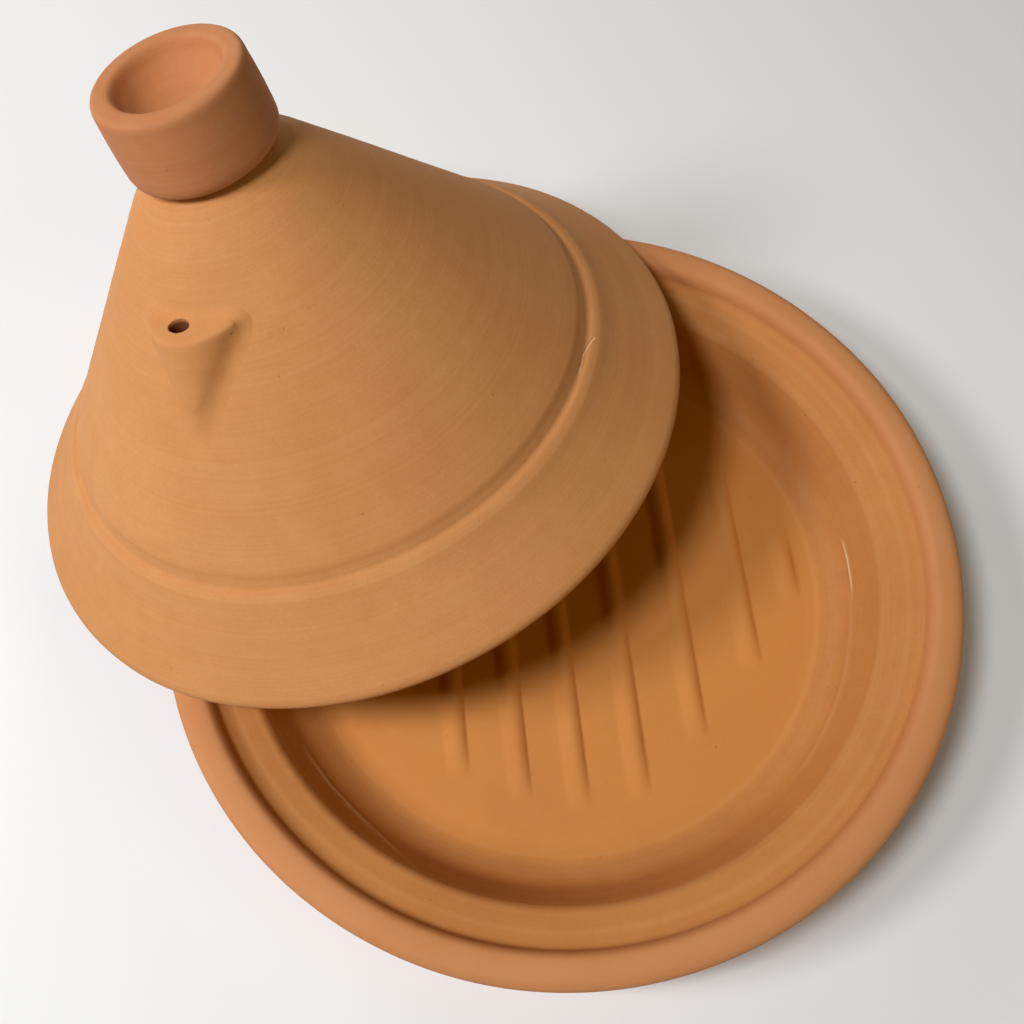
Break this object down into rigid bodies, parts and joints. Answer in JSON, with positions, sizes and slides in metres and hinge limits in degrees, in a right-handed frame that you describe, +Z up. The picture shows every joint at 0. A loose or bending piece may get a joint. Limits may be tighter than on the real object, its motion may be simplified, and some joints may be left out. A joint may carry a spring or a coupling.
{
  "type": "tagine pot",
  "caption": "Unglazed clay cooking pot: a wide shallow dish with a rolled lip and ribbed floor, and a conical lid with a cupped knob and a steam vent, leaning off the dish.",
  "frame": {"origin": "centre of the dish's flat foot, on the table", "axes": "+Z up out of the dish; +X to the right and +Y away, with the lid lying off the dish towards -X and +Y"},
  "size_m": [0.3941, 0.3903, 0.2172],
  "materials": {
    "dish_clay": "matte unglazed terracotta, slightly pink on the rolled lip",
    "lid_clay": "matte unglazed terracotta, a little lighter, with fine throwing lines"
  },
  "bodies": {
    "dish": {"dish": "dish_clay"},
    "lid": {"lid_cone": "lid_clay", "lid_knob": "lid_clay", "vent_boss": "lid_clay"}
  },
  "joints": [
    {"name": "lid_lift", "type": "slide", "parent": "dish", "child": "lid", "axis": [0, 0, 1], "range_m": [0, 0.15]}
  ]
}
